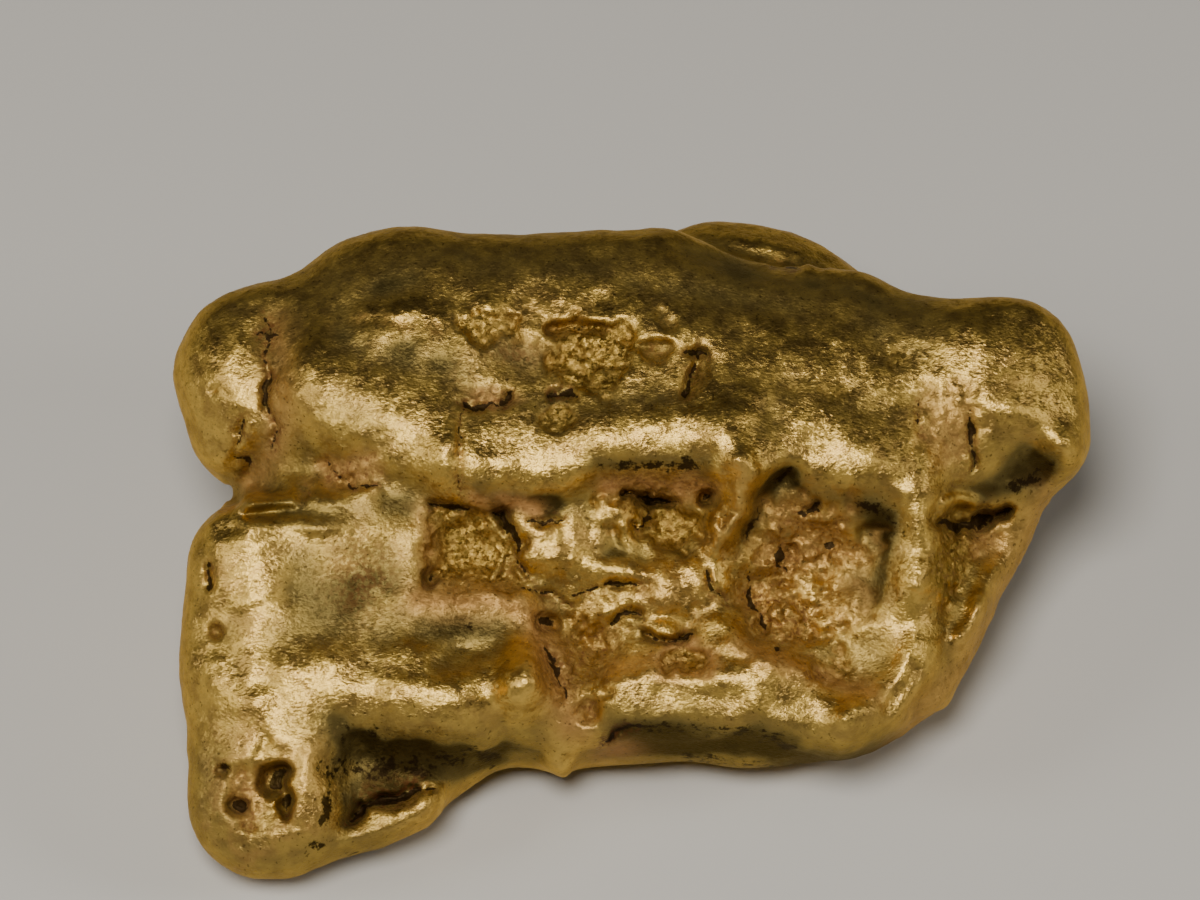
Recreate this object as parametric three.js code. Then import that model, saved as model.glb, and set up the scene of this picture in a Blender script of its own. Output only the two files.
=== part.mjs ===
// A waterworn gold nugget, in millimetres, +Z up, resting on the worn flats of its underside.
//
// The nugget is one natural casting of metal, so it is one mesh. Its form is written as lobes that run
// into each other, ridges that stand up along their crests, and hollows that are worn or broken out of
// them. All three are placed in the frame of its broad face: u to the right along the face, v up the
// face, w straight out of it. The face leans back from level by FACE_LEAN, and the face's own origin
// sits at FACE_AT in the part's frame.
import * as THREE from "three";

const FACE_LEAN = 40; // degrees
const FACE_AT = [-0.05, -1.33, 4.0];
const CELL = 0.47; // the size of the skin's facets
const LOBE_BLEND = 0.26; // how softly one lobe runs into the next
const HOLLOW_BLEND = 0.35; // how round the lip of a hollow is
const REACH = { x: 11.5, y: 10.5, z: 9 }; // a box the nugget fits: half width, half depth, height

// The big masses. Each is a block with rounded edges: centre [u, v, w], half sizes [u, v, w], the
// radius of its edges, its turn about w and its lean about u in degrees.
const BLOCKS = [
  ["north brow", [-1.8, 3.5, -1.7], [4.6, 3.7, 2.5], 2.2, 2, 28],
  ["north east brow", [2.4, 3.1, -1.7], [4.0, 3.5, 2.5], 2.1, -7, 27],
  ["north west shoulder", [-5.2, 3.4, -1.6], [2.3, 2.3, 2.3], 1.7, 12, 12],
  ["lower band", [1.0, -0.8, -1.3], [5.9, 3.0, 2.6], 1.6, 0, -5],
  ["south west block", [-6.2, -1.4, -0.3], [3.5, 2.5, 2.2], 1.4, -2, -6],
  ["east saddle", [6.0, 2.7, -1.7], [2.4, 2.8, 2.2], 1.8, -3, 18],
  ["east knob", [8.1, 3.4, -1.5], [2.0, 2.2, 2.1], 1.5, 12, 5],
  ["core", [0.0, 1.0, -2.4], [7.4, 4.6, 2.3], 1.8, 3, 40],
];

// The round lobes: centre [u, v, w], radii [u, v, w], turn about w.
const LOBES = [
  ["west knob", [-8.2, 4.1, -1.9], [1.95, 1.9, 1.9]],
  ["west knob skirt", [-7.9, 2.8, -1.6], [1.8, 1.8, 1.7]],
  ["north west brow", [-5.2, 5.3, -2.6], [2.4, 2.0, 2.4]],
  ["back ridge west", [-4.0, 4.4, -5.0], [2.4, 1.3, 1.6], 10],
  ["back ridge east", [4.6, 3.6, -4.9], [2.2, 1.4, 1.5], -12],
  ["back foot west", [-4.2, 2.6, -5.4], [2.0, 1.8, 1.7], 15],
  ["back foot east", [4.8, 2.2, -5.3], [2.1, 1.8, 1.8], -10],
  ["front foot", [1.6, -2.6, -3.2], [2.2, 1.4, 1.4]],
  ["rear bump", [2.6, 6.4, -5.0], [2.2, 1.1, 1.6], -8],
  ["rear bump tail", [4.4, 5.6, -5.0], [1.6, 1.0, 1.6], -25],
  ["south west end", [-7.9, -5.3, 1.4], [1.8, 1.8, 1.9]],
  ["south west heel", [-5.3, -4.7, 0.8], [3.0, 1.5, 1.8], 22],
  ["south gap", [-1.6, -3.5, 0.2], [1.8, 1.5, 1.6]],
  ["south rim west", [0.2, -3.6, 0.4], [1.6, 1.2, 1.7]],
  ["south rim", [2.6, -3.7, 0.5], [1.9, 1.2, 1.8]],
  ["south rim east", [4.6, -3.5, 0.3], [1.6, 1.2, 1.7]],
  ["south east rim", [6.1, -2.7, -0.4], [1.0, 1.2, 1.5]],
  ["east rim low", [7.1, -1.5, -1.1], [0.8, 1.5, 1.4], -25],
  ["east rim high", [8.2, 0.5, -1.7], [0.8, 1.5, 1.3], -22],
];

// The ridges along the crests: radius, then the points [u, v, w] of the line down its middle.
const RIDGES = [
  ["central ridge west", 0.7, [-3.6, 2.0, 0.9], [-1.6, 1.8, 0.9], [-0.6, 2.5, 1.1], [2.1, 2.4, 1.1]],
  ["central ridge east", 0.7, [2.1, 2.4, 1.1], [2.9, 1.7, 0.9], [3.7, 2.3, 0.8], [6.0, 2.2, 0.5]],
  ["south west crest", 1.3, [-8.3, -3.2, 1.1], [-6.3, -2.8, 1.1], [-4.6, -3.0, 1.6], [-2.7, -3.1, 1.3]],
  ["south west flank", 0.9, [-8.6, 0.0, 0.4], [-8.8, -2.0, 0.9], [-8.6, -4.4, 0.9]],
];

// What is worn or broken out of the metal: centre [u, v, w], radii [u, v, w], turn about w.
const HOLLOWS = [
  ["cave", [1.0, 0.9, 1.9], [1.8, 0.7, 0.9]],
  ["crystal pit", [-3.5, 0.2, 1.9], [0.8, 0.8, 0.9]],
  ["right hollow", [4.2, -0.5, 2.2], [1.8, 1.7, 1.4]],
  ["right hollow foot", [4.0, -2.3, 2.2], [1.6, 0.9, 1.2]],
  ["lower pits", [-0.3, -2.2, 2.0], [1.9, 0.6, 0.9]],
  ["block step", [-1.6, -2.0, 2.6], [1.2, 2.2, 1.6], -20],
  ["brow pit", [-0.9, 4.4, 1.4], [0.9, 0.9, 0.8]],
  ["saddle", [-4.6, -1.2, 3.0], [2.2, 1.2, 1.5]],
  ["east slot", [7.4, 0.9, 0.4], [0.9, 0.45, 1.5], -10],
  ["notch", [-9.3, 1.4, 0.5], [1.6, 0.45, 2.4]],
  ["end hollow", [-8.0, -5.2, 3.5], [0.8, 1.0, 0.8]],
  ["front dent", [3.6, -4.9, -2.0], [1.9, 0.9, 0.8]],
  ["back dent", [0.3, 5.2, -6.2], [2.0, 1.3, 1.1], 10],
  ["under dent west", [-4.0, -2.6, -3.4], [2.0, 1.6, 1.2]],
  ["under dent east", [3.2, 0.2, -6.0], [1.6, 1.3, 1.3]],
];

const { degToRad } = THREE.MathUtils;

// The turn that brings a direction of the face into a turned and leaned shape's own axes.
const turned = (turn = 0, lean = 0) =>
  new THREE.Matrix4()
    .makeRotationX(degToRad(lean))
    .multiply(new THREE.Matrix4().makeRotationZ(-degToRad(turn)));

// The distance from a point to an ellipsoid's skin, negative inside.
function ellipsoid([, centre, radii, turn, lean]) {
  const c = new THREE.Vector3(...centre);
  const r = new THREE.Vector3(...radii);
  const local = turned(turn, lean);
  const p = new THREE.Vector3();
  return (at) => {
    p.subVectors(at, c).applyMatrix4(local).divide(r);
    const inRadii = p.length();
    const slope = p.divide(r).length();
    return slope > 0 ? (inRadii * (inRadii - 1)) / slope : -Math.min(...radii);
  };
}

// The distance from a point to the skin of a block with rounded edges.
function block([, centre, halves, radius, turn, lean]) {
  const c = new THREE.Vector3(...centre);
  const inner = new THREE.Vector3(...halves).subScalar(radius);
  const local = turned(turn, lean);
  const p = new THREE.Vector3();
  return (at) => {
    p.subVectors(at, c).applyMatrix4(local);
    p.set(Math.abs(p.x), Math.abs(p.y), Math.abs(p.z)).sub(inner);
    const inside = Math.min(Math.max(p.x, p.y, p.z), 0);
    return p.set(Math.max(p.x, 0), Math.max(p.y, 0), Math.max(p.z, 0)).length() + inside - radius;
  };
}

// The distance from a point to a round bar along a line of points.
function bar([, radius, ...stations]) {
  const points = stations.map((station) => new THREE.Vector3(...station));
  const lines = points.slice(1).map((end, i) => new THREE.Line3(points[i], end));
  const near = new THREE.Vector3();
  const away = (at, line) => line.closestPointToPoint(at, true, near).distanceTo(at);
  return (at) => Math.min(...lines.map((line) => away(at, line))) - radius;
}

const masses = [...BLOCKS.map(block), ...LOBES.map(ellipsoid), ...RIDGES.map(bar)];
const hollows = HOLLOWS.map(ellipsoid);

function smoothMax(a, b, blend) {
  const h = Math.max(blend - Math.abs(a - b), 0) / blend;
  return Math.max(a, b) + (h * h * blend) / 4;
}

// The nugget's skin is where this is zero. It is negative in the metal.
function nugget(at) {
  const sum = masses.reduce((total, mass) => total + Math.exp(-mass(at) / LOBE_BLEND), 0);
  const body = -LOBE_BLEND * Math.log(Math.max(sum, 1e-30));
  return hollows.reduce((skin, hollow) => smoothMax(skin, -hollow(at), HOLLOW_BLEND), body);
}

// A closed skin of flat faces where field is zero, with one vertex in each cell that the skin crosses.
function skinOf(field, low, cells, size) {
  const [nx, ny, nz] = cells.map((n) => n + 1);
  const index = (i, j, k) => i + nx * (j + ny * k);
  const values = new Float32Array(nx * ny * nz);
  const corner = (i, j, k) => new THREE.Vector3(i, j, k).multiplyScalar(size).add(low);
  for (let k = 0; k < nz; k++)
    for (let j = 0; j < ny; j++)
      for (let i = 0; i < nx; i++) values[index(i, j, k)] = field(corner(i, j, k));

  const offsets = [0, 1, 2, 3, 4, 5, 6, 7].map((n) => [n & 1, (n >> 1) & 1, n >> 2]);
  const edges = offsets.flatMap((a, m) =>
    [0, 1, 2].filter((axis) => !a[axis]).map((axis) => [m, m + (1 << axis)])
  );
  const positions = [];
  const vertexOf = new Map();
  for (let k = 0; k < nz - 1; k++)
    for (let j = 0; j < ny - 1; j++)
      for (let i = 0; i < nx - 1; i++) {
        const at = offsets.map(([a, b, c]) => values[index(i + a, j + b, k + c)]);
        const crossed = edges.filter(([m, n]) => at[m] < 0 !== at[n] < 0);
        if (!crossed.length) continue;
        const mean = new THREE.Vector3();
        for (const [m, n] of crossed) {
          const share = at[m] / (at[m] - at[n]);
          const from = new THREE.Vector3(...offsets[m]);
          mean.add(from.lerp(new THREE.Vector3(...offsets[n]), share));
        }
        mean.divideScalar(crossed.length).add(new THREE.Vector3(i, j, k));
        vertexOf.set(index(i, j, k), positions.length / 3);
        positions.push(...mean.multiplyScalar(size).add(low).toArray());
      }

  const faces = [];
  const steps = [
    [0, [0, 1, 0], [0, 0, 1]],
    [1, [0, 0, 1], [1, 0, 0]],
    [2, [1, 0, 0], [0, 1, 0]],
  ];
  for (let k = 1; k < nz - 1; k++)
    for (let j = 1; j < ny - 1; j++)
      for (let i = 1; i < nx - 1; i++)
        for (const [axis, b, c] of steps) {
          const here = values[index(i, j, k)] < 0;
          const next = values[index(i + (axis === 0), j + (axis === 1), k + (axis === 2))] < 0;
          if (here === next) continue;
          const cell = (s, t) =>
            vertexOf.get(index(i - s * b[0] - t * c[0], j - s * b[1] - t * c[1], k - s * b[2] - t * c[2]));
          const quad = [cell(0, 0), cell(1, 0), cell(1, 1), cell(0, 1)];
          if (!here) quad.reverse();
          faces.push(quad[0], quad[1], quad[2], quad[0], quad[2], quad[3]);
        }
  const skin = new THREE.BufferGeometry();
  skin.setAttribute("position", new THREE.Float32BufferAttribute(positions, 3));
  skin.setIndex(faces);
  return skin;
}

// The frame of the broad face, as a matrix from the part's frame, so that a grid point can be asked
// how deep it lies.
const toFace = new THREE.Matrix4()
  .makeTranslation(...FACE_AT)
  .multiply(new THREE.Matrix4().makeRotationX(degToRad(FACE_LEAN)))
  .invert();
const inFace = new THREE.Vector3();
const standing = (at) => Math.max(nugget(inFace.copy(at).applyMatrix4(toFace)), -at.z);

const low = new THREE.Vector3(-REACH.x, -REACH.y, -1.5 * CELL);
const cells = [2 * REACH.x, 2 * REACH.y, REACH.z + 2 * CELL].map((side) => Math.ceil(side / CELL));
const skin = skinOf(standing, low, cells, CELL);
skin.computeVertexNormals();

const gold = new THREE.MeshStandardMaterial({ color: 0xc9a45c, metalness: 1, roughness: 0.35 });
const mesh = new THREE.Mesh(skin, gold);
mesh.name = "nugget";

const part = new THREE.Group();
part.name = "gold_nugget";
part.add(mesh);

export default part;
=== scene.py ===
import math

import bpy
import numpy as np
import openvdb
from mathutils import Matrix, Vector


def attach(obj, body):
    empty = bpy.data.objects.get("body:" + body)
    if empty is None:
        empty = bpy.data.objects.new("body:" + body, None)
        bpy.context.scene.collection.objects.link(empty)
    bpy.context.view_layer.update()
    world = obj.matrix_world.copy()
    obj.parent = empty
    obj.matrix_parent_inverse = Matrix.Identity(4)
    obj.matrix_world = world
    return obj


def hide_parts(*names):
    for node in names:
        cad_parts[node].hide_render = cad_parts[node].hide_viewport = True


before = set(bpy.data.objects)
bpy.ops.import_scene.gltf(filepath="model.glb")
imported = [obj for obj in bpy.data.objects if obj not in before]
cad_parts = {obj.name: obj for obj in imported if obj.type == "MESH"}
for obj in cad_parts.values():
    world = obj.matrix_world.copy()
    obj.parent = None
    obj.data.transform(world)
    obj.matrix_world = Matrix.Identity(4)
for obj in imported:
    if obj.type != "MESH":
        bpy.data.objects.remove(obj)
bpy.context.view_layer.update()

# ---- The lump ----------------------------------------------------------------------------------
# The real piece is one lump of native gold, rolled smooth in a stream bed. Its solid is read from
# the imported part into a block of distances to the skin, in millimetres, and is worked like wax.
MM = 0.001
WAX_STEP = 0.12  # mm between the wax's first readings; they are halved before the fine work
WAX_RIM = 8  # readings kept free round the solid

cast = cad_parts["nugget"].data
corners = np.empty(len(cast.vertices) * 3, np.float32)
cast.vertices.foreach_get("co", corners)
corners, same = np.unique(np.round(corners.reshape(-1, 3) / MM, 4), axis=0, return_inverse=True)
cast.calc_loop_triangles()
facets = np.empty(len(cast.loop_triangles) * 3, np.int32)
cast.loop_triangles.foreach_get("vertices", facets)

solid = openvdb.FloatGrid.createLevelSetFromPolygons(
    corners.astype(np.float32),
    triangles=same.reshape(-1)[facets].reshape(-1, 3).astype(np.uint32),
    transform=openvdb.createLinearTransform(voxelSize=WAX_STEP),
    halfWidth=12,
)
wax_low = np.floor(corners.min(0) / WAX_STEP).astype(int) - WAX_RIM
wax_high = np.ceil(corners.max(0) / WAX_STEP).astype(int) + WAX_RIM
wax = np.empty(wax_high - wax_low + 1, np.float32)
solid.copyToArray(wax, ijk=tuple(int(n) for n in wax_low))
wax_low = wax_low * WAX_STEP


def soften(block, passes):
    """Rubs a block smooth, a little more with each pass."""
    for axis in range(block.ndim):
        lanes = np.moveaxis(block, axis, 0)
        for _ in range(passes):
            lanes[1:-1] = lanes[1:-1] * 0.5 + (lanes[:-2] + lanes[2:]) * 0.25
    return block


def finer(block):
    """The same block with a reading halfway between each two."""
    for axis in range(3):
        lanes = np.moveaxis(block, axis, 0)
        twice = np.empty((2 * len(lanes) - 1,) + lanes.shape[1:], np.float32)
        twice[::2] = lanes
        twice[1::2] = (lanes[:-1] + lanes[1:]) / 2
        block = np.moveaxis(twice, 0, axis)
    return np.ascontiguousarray(block)


# Rubbing takes the solid's facets away, which stand in for the smooth worn metal.
wax = finer(soften(wax, 6))
step = WAX_STEP / 2
xs, ys, zs = (wax_low[a] + step * np.arange(wax.shape[a], dtype=np.float32) for a in range(3))

# The broad face leans back from level. Marks on it are placed in its own frame, in millimetres: u
# to the right along the face, v up it and w out of it.
FACE_AT = Vector((-0.05, -1.33, 4.0))
LEAN = math.radians(40)
face = Matrix.Translation(FACE_AT) @ Matrix.Rotation(LEAN, 4, "X")
FACE_FOOT, FACE_HEAD = -8.6, 8.0  # v of its lower and upper ends
FACE_TOP = 5.5  # w above all of the metal
NO_METAL = -9.0  # w where the face has run out
us = xs - FACE_AT.x
vs = np.arange(FACE_FOOT, FACE_HEAD, step, dtype=np.float32)
U, V = np.meshgrid(us, vs)


def look_down(block):
    """How high w the skin stands at each place of the face; NO_METAL past its edge."""
    w = np.full(V.shape, FACE_TOP, np.float32)
    column = np.arange(len(xs))[None, :]
    for _ in range(60):
        y = V * math.cos(LEAN) - w * math.sin(LEAN) + FACE_AT.y
        z = V * math.sin(LEAN) + w * math.cos(LEAN) + FACE_AT.z
        j = np.clip((y - ys[0]) / step, 0, len(ys) - 1.001)
        k = np.clip((z - zs[0]) / step, 0, len(zs) - 1.001)
        j0, k0 = j.astype(int), k.astype(int)
        a, b = j - j0, k - k0
        near = block[column, j0, k0] * (1 - a) * (1 - b) + block[column, j0 + 1, k0] * a * (1 - b)
        near += block[column, j0, k0 + 1] * (1 - a) * b + block[column, j0 + 1, k0 + 1] * a * b
        w -= np.maximum(near, 0) * 0.9
        w = np.maximum(w, NO_METAL)
    return w


# v and w of each (y, z) of the wax, and the rows of the face's map that each lies between.
yy, zz = np.meshgrid(ys - FACE_AT.y, zs - FACE_AT.z, indexing="ij")
wax_v = yy * math.cos(LEAN) + zz * math.sin(LEAN)
wax_w = zz * math.cos(LEAN) - yy * math.sin(LEAN)
row = np.clip((wax_v - vs[0]) / step, 0, len(vs) - 1.001)
row_below = row.astype(int)
row_share = (row - row_below)[:, :, None].astype(np.float32)


def onto_wax(face_map):
    """Carries a map of the face straight down into the wax."""
    face_map = face_map.astype(np.float32)
    carried = face_map[row_below] * (1 - row_share) + face_map[row_below + 1] * row_share
    return np.moveaxis(carried, 2, 0)

# ---- The worn relief of the face ---------------------------------------------------------------
# Tumbling among pebbles has beaten the metal into soft crests, saddles and dents. Each mark is a
# stroke of a thumb in the wax: it raises or lowers the skin, and fades out to its sides.


def mottle(at, size, seed):
    """Smooth random mottling from -1 to 1 at places `at`, with patches about `size` across."""
    table = np.random.default_rng(seed).uniform(-1, 1, (32,) * len(at)).astype(np.float32)
    cells = [np.floor(a / size).astype(int) for a in at]
    parts = [a / size - c for a, c in zip(at, cells)]
    parts = [p * p * (3 - 2 * p) for p in parts]
    total = 0
    for corner in np.ndindex(*(2,) * len(at)):
        share = 1
        for c, p in zip(corner, parts):
            share = share * (p if c else 1 - p)
        total = total + share * table[tuple((q + c) % 32 for q, c in zip(cells, corner))]
    return total


def ease(x):
    """0 up to 0, 1 from 1 on, and a soft rise between."""
    x = np.clip(x, 0, 1)
    return x * x * (3 - 2 * x)


def shards(at, size, seed):
    """Small flat faces, each tilted its own way, from 0 to 1, and how near a seam between two is."""
    dice = np.random.default_rng(seed)
    jitter = dice.uniform(0.1, 0.9, (32,) * len(at) + (len(at),))
    tilt = dice.uniform(-1, 1, (32,) * len(at) + (len(at) + 1,))
    cells = [np.floor(a / size).astype(int) for a in at]
    nearest = np.full(at[0].shape, 9.0)
    second = np.full(at[0].shape, 9.0)
    level = np.zeros(at[0].shape)
    for shift in np.ndindex(*(3,) * len(at)):
        beside = [c + s - 1 for c, s in zip(cells, shift)]
        cell = tuple(c % 32 for c in beside)
        away = [a / size - c - jitter[cell][..., n] for n, (a, c) in enumerate(zip(at, beside))]
        gap = np.sqrt(sum(d * d for d in away))
        plane = tilt[cell][..., -1] * 0.5 + sum(tilt[cell][..., n] * d for n, d in enumerate(away)) * 0.7
        level = np.where(gap < nearest, plane, level)
        second = np.minimum(second, np.maximum(nearest, gap))
        nearest = np.minimum(nearest, gap)
    return np.clip(level * 0.5 + 0.5, 0, 1), ease(1 - (second - nearest) / 0.35)


# Nothing natural is drawn with a ruler, so strokes are placed on a slightly shaken map.
shaken_u = U + 0.14 * mottle((U, V), 1.1, 1) + 0.07 * mottle((U, V), 0.45, 2)
shaken_u += 0.02 * mottle((U, V), 0.2, 5)
shaken_v = V + 0.14 * mottle((U, V), 1.1, 3) + 0.07 * mottle((U, V), 0.45, 4)
shaken_v += 0.02 * mottle((U, V), 0.2, 6)
uneven = 1 + 0.22 * mottle((U, V), 0.8, 7) + 0.12 * mottle((U, V), 0.35, 8)


def gap_to(points):
    """How far each place of the face is from a line of points, how far along it and on which side.

    The side is above zero to the left of someone who walks along the points.
    """
    gap = np.full(U.shape, 99.0)
    along = np.zeros(U.shape)
    side = np.zeros(U.shape)
    total = 0
    for (u0, v0), (u1, v1) in zip(points, points[1:]):
        du, dv = u1 - u0, v1 - v0
        length = math.hypot(du, dv)
        t = np.clip(((shaken_u - u0) * du + (shaken_v - v0) * dv) / length**2, 0, 1)
        d = np.hypot(shaken_u - u0 - t * du, shaken_v - v0 - t * dv)
        across = (du * (shaken_v - v0) - dv * (shaken_u - u0)) / length
        side = np.where(d < gap, across, side)
        along = np.where(d < gap, total + t * length, along)
        gap = np.minimum(gap, d)
        total += length
    return gap, along / total, side


def within(points):
    """How far inside an outline each place is; negative outside it."""
    gap = gap_to(points + points[:1])[0]
    inside = np.zeros(U.shape, bool)
    for (u0, v0), (u1, v1) in zip(points, points[1:] + points[:1]):
        crosses = (v0 > shaken_v) != (v1 > shaken_v)
        slant = (u1 - u0) / (v1 - v0) if v1 != v0 else 0
        inside ^= crosses & (shaken_u < u0 + (shaken_v - v0) * slant)
    return np.where(inside, gap, -gap)


def off_centre(centre, radii, turn=0):
    """0 at an oval's centre, 1 on its outline, more outside."""
    c, s = math.cos(math.radians(turn)), math.sin(math.radians(turn))
    du, dv = shaken_u - centre[0], shaken_v - centre[1]
    return np.hypot((du * c + dv * s) / radii[0], (dv * c - du * s) / radii[1])


lift = np.zeros(U.shape)


def roll(points, left, right, height):
    """A roll of metal along some points, with its own softness to the left and to the right."""
    gap, along, side = gap_to(points)
    slope = np.clip(side / (0.6 * gap + 0.01), -1, 1)
    width = (left + right) / 2 + (left - right) / 2 * slope
    ends = ease(6 * np.minimum(along, 1 - along) + 0.6)
    lift[:] += height * uneven * ends * np.exp(-((gap / width) ** 2))


def swell(centre, radii, height, turn=0, flat=2.0):
    """A bump, or with a negative height a dent; `flat` above 2 squares it off."""
    lift[:] += height * np.exp(-(off_centre(centre, radii, turn) ** flat))


def sink(outline, depth, bank):
    """Lowers all that lies inside an outline, with banks of a given width."""
    lift[:] -= depth * ease(within(outline) / (bank * uneven) + 0.5)


def even_out(outline, bank):
    """Planes what lies inside an outline down to one even, gently curved face."""
    share = ease(within(outline) / bank + 0.5)
    terms = [1 + 0 * U, U, V, U * V, V * V]
    inner = share > 0.9
    standing = height + lift
    fit = np.linalg.lstsq(np.stack([t[inner] for t in terms], 1), standing[inner], rcond=None)[0]
    plane = sum(f * t for f, t in zip(fit, terms))
    lift[:] += (plane - standing) * share * (height > NO_METAL + 1)


# First the face is rubbed broad, so that only its main rises and falls are left. The block at the
# south west and the upper band are rubbed the most.
height = look_down(wax)
metal = (height > NO_METAL + 1).astype(float)


def rubbed(passes):
    """What rubbing adds to the face's height, fading out near its rim and at sharp drops."""
    wide = soften(metal.copy(), passes)
    change = soften(np.where(height > NO_METAL + 1, height, 0), passes) / np.maximum(wide, 0.01) - height
    return change * ease((wide - 0.7) / 0.3) * np.exp(-((change / 0.4) ** 2)) * metal


smoothest = [(-9.2, 0.3), (-4.8, 0.2), (-4.4, -0.9), (-2.4, -1.2), (-2.0, -2.8), (-9.2, -3.0)]
upper_band = [(-6.8, 6.0), (-3.0, 6.6), (3.0, 5.8), (7.5, 5.0), (7.5, 3.6), (3.0, 3.2), (-3.0, 3.2)]
upper_band += [(-6.8, 4.4)]
share = np.maximum(ease(within(smoothest) / 0.8 + 0.5), ease(within(upper_band) / 0.8 + 0.5))
lift += rubbed(60) * (1 - share) + rubbed(350) * share

# the ground below the ridge and the right hollow lie lower than the rest
sink([(-4.2, 0.9), (-3.3, 1.2), (-2.3, 1.1), (-1.6, 1.3), (-0.8, 1.75), (0.3, 1.8), (1.7, 1.75),
      (1.9, 1.2), (1.7, 0.3), (2.7, -0.3), (3.0, -1.9), (1.4, -2.3), (-0.6, -2.6), (-1.7, -1.6),
      (-2.2, -0.5), (-4.3, -0.6)], 0.25, 0.6)
sink([(2.9, 0.8), (3.4, 1.2), (4.2, 1.3), (5.2, 1.1), (5.8, 0.9), (5.9, 0.4), (5.6, -0.8),
      (5.0, -1.8), (4.2, -2.4), (2.6, -1.7), (2.2, -0.6), (2.4, 0.2)], 0.28, 1.1)

# fullness of the upper band, the shoulder and the saddle between shoulder and block
roll([(-6.2, 4.7), (-3.0, 5.1), (1.0, 5.0), (5.0, 4.7), (8.0, 4.3)], 0.9, 1.5, 0.27)
swell((-7.2, 3.1), (1.8, 1.5), 0.5)
swell((-2.2, -2.7), (0.8, 0.7), 0.35)
swell((9.4, 2.35), (0.5, 0.4), 0.35)

# the bank behind the south rim, the low end of the right hollow and the shallow groove over the
# block, whose top is planed even
roll([(-0.4, -2.25), (1.0, -2.1), (2.4, -2.15), (3.9, -2.7)], 0.5, 0.5, 0.42)
swell((3.4, -1.6), (1.0, 0.8), 0.3)
roll([(-8.1, 1.0), (-7.0, 0.95), (-5.3, 1.0)], 0.35, 0.35, 0.2)
roll([(-7.8, 1.5), (-6.8, 1.5), (-5.6, 1.5)], 0.3, 0.3, 0.2)
even_out([(-8.4, 0.6), (-5.0, 0.6), (-4.6, -0.8), (-2.9, -1.1), (-2.6, -2.5), (-8.2, -2.6)], 0.8)

# below their crests the block and the south rim fall away to the ground
sink([(-6.5, -4.7), (-5.8, -4.1), (-4.4, -4.1), (-1.9, -4.2), (-1.5, -9), (-3.6, -9),
      (-4.1, -5.0), (-6.2, -5.6)], 0.65, 1.1)
sink([(-1.2, -4.1), (1.5, -3.85), (3.0, -4.0), (4.8, -4.4), (6.4, -3.6), (9, -5), (6, -8),
      (-1.2, -8)], 0.6, 1.0)

# the central ridge, in two waves that fall steeply to the south, and the bar east of the cave
roll([(-3.6, 2.0), (-2.4, 1.95), (-1.85, 1.9), (-1.3, 2.05), (-0.7, 2.45), (0.3, 2.55),
      (1.4, 2.5), (2.1, 2.4)], 1.1, 0.5, 0.2)
roll([(2.2, 2.35), (2.6, 2.1), (2.95, 1.9), (3.4, 2.0), (3.85, 2.35), (4.6, 2.55), (5.3, 2.3),
      (5.95, 1.9), (6.4, 1.4)], 0.9, 0.6, 0.22)
swell((5.0, 1.8), (0.8, 0.5), 0.2)
roll([(2.15, 2.3), (2.4, 1.7), (2.35, 1.1), (1.95, 0.5)], 0.4, 0.36, 0.55)
roll([(3.5, 1.7), (3.1, 1.45), (2.85, 1.0), (2.5, 0.4)], 0.32, 0.32, -0.45)
# the upper band
swell((-2.2, 4.2), (0.8, 0.55), -0.2)
roll([(2.0, 3.6), (3.6, 3.6), (5.0, 3.7)], 0.8, 0.8, 0.08)
roll([(-3.3, 5.6), (-2.1, 5.85), (-1.0, 5.7)], 0.7, 0.5, 0.1)
swell((-5.3, 5.35), (0.75, 0.35), 0.13)
roll([(-6.0, 4.5), (-4.4, 4.2), (-3.6, 3.2)], 0.7, 0.7, -0.1)
# the groove between the west knob and the shoulder, and the shoulder's roll
roll([(-8.0, 5.3), (-7.95, 4.45), (-7.9, 3.6), (-7.85, 2.8), (-8.2, 2.0),
      (-8.6, 1.45)], 0.45, 0.45, -0.25)
roll([(-7.7, 4.1), (-7.0, 3.5), (-5.8, 2.75), (-4.7, 2.3), (-3.8, 2.0)], 1.4, 0.7, 0.32)
swell((-9.2, 3.9), (0.6, 1.2), 0.15)
swell((-6.0, 1.95), (0.9, 0.35), 0.2)
swell((-4.0, 1.8), (0.4, 0.6), 0.12)
# the south west block: the bumps at its corners, its long crest and its pinched east edge
roll([(-8.6, 0.5), (-8.4, -0.3), (-8.0, -1.0)], 0.7, 0.7, 0.22)
swell((-3.6, -1.45), (1.0, 0.45), -0.1)
roll([(-9.0, -2.2), (-8.5, -2.8), (-7.9, -3.3), (-7.2, -3.9)], 0.9, 0.7, 0.14)
roll([(-7.2, -2.4), (-5.5, -2.4), (-3.4, -2.4)], 0.5, 0.5, 0.13)
roll([(-7.6, -3.1), (-6.6, -2.85), (-5.3, -2.85), (-4.4, -2.95), (-3.6, -2.85), (-2.7, -2.8),
      (-2.0, -3.1)], 1.1, 0.8, 0.24)
swell((-2.1, -2.75), (0.8, 0.75), 0.35, 0, 3)
even_out([(-3.8, -2.0), (-2.2, -1.9), (-1.75, -3.1), (-3.6, -3.2)], 0.6)
roll([(-4.7, -0.9), (-3.65, -0.75), (-2.9, -0.8), (-2.35, -1.1), (-2.05, -1.7), (-1.85, -2.4),
      (-1.5, -3.1), (-1.2, -3.7)], 0.35, 0.6, 0.14)
roll([(-6.3, -4.3), (-5.0, -4.6), (-3.8, -4.6), (-2.4, -4.2)], 0.6, 0.5, -0.25)
swell((-5.2, -5.85), (1.2, 0.4), 0.2, 25)
roll([(-6.85, -3.9), (-6.95, -4.75), (-6.9, -6.0)], 0.4, 0.4, 0.2)
even_out([(-8.3, 1.5), (-5.6, 1.45), (-5.6, 0.7), (-8.3, 0.7)], 0.5)
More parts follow.
